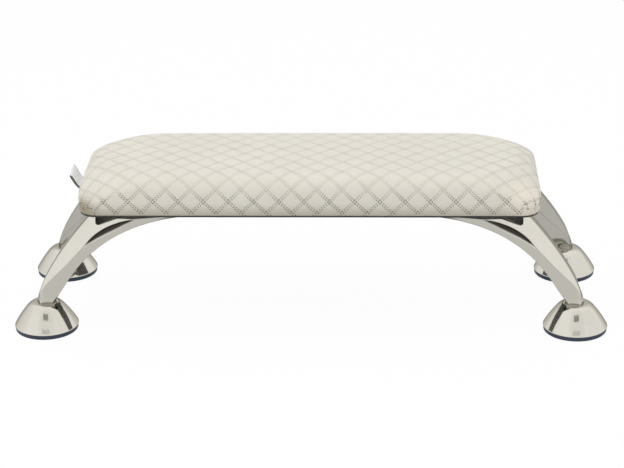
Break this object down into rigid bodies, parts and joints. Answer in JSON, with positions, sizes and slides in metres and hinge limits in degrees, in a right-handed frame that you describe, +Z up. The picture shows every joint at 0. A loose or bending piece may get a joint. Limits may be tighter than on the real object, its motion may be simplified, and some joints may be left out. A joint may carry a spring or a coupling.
{
  "type": "manicure hand rest",
  "caption": "Low arched hand rest: a quilted leatherette pad on swept metal legs with bell feet and rubber discs, to support a client's wrist and hand.",
  "frame": {"origin": "on the table, under the middle of the pad; the table is Z = 0", "axes": "+X runs along the pad towards the viewer's right, -Y is the front long side, +Z is up"},
  "size_m": [0.4538, 0.1602, 0.1245],
  "materials": {
    "cover": "soft ivory leatherette, quilted over a thin wadding",
    "foam": "open-cell upholstery foam",
    "board": "raw plywood",
    "lining": "thin black non-woven cloth",
    "label": "woven ribbon, plain",
    "polished_metal": "polished, a little warm",
    "plate": "black satin paint",
    "rubber": "smooth blue-black rubber",
    "steel": "zinc-plated steel"
  },
  "bodies": {
    "root": {"quilted_cover": "cover", "foam_pad": "foam", "base_board": "board", "bottom_lining": "lining", "lining_staples": "steel", "loop_label": "label", "front_left_leg": "polished_metal", "front_left_mounting_plate": "plate", "front_left_plate_screws": "steel", "front_left_bell_foot": "polished_metal", "front_left_rubber_disc": "rubber", "front_left_foot_bolt": "steel", "front_left_foot_washer": "steel", "front_right_leg": "polished_metal", "front_right_mounting_plate": "plate", "front_right_plate_screws": "steel", "front_right_bell_foot": "polished_metal", "front_right_rubber_disc": "rubber", "front_right_foot_bolt": "steel", "front_right_foot_washer": "steel", "rear_left_leg": "polished_metal", "rear_left_mounting_plate": "plate", "rear_left_plate_screws": "steel", "rear_left_bell_foot": "polished_metal", "rear_left_rubber_disc": "rubber", "rear_left_foot_bolt": "steel", "rear_left_foot_washer": "steel", "rear_right_leg": "polished_metal", "rear_right_mounting_plate": "plate", "rear_right_plate_screws": "steel", "rear_right_bell_foot": "polished_metal", "rear_right_rubber_disc": "rubber", "rear_right_foot_bolt": "steel", "rear_right_foot_washer": "steel"}
  },
  "joints": []
}
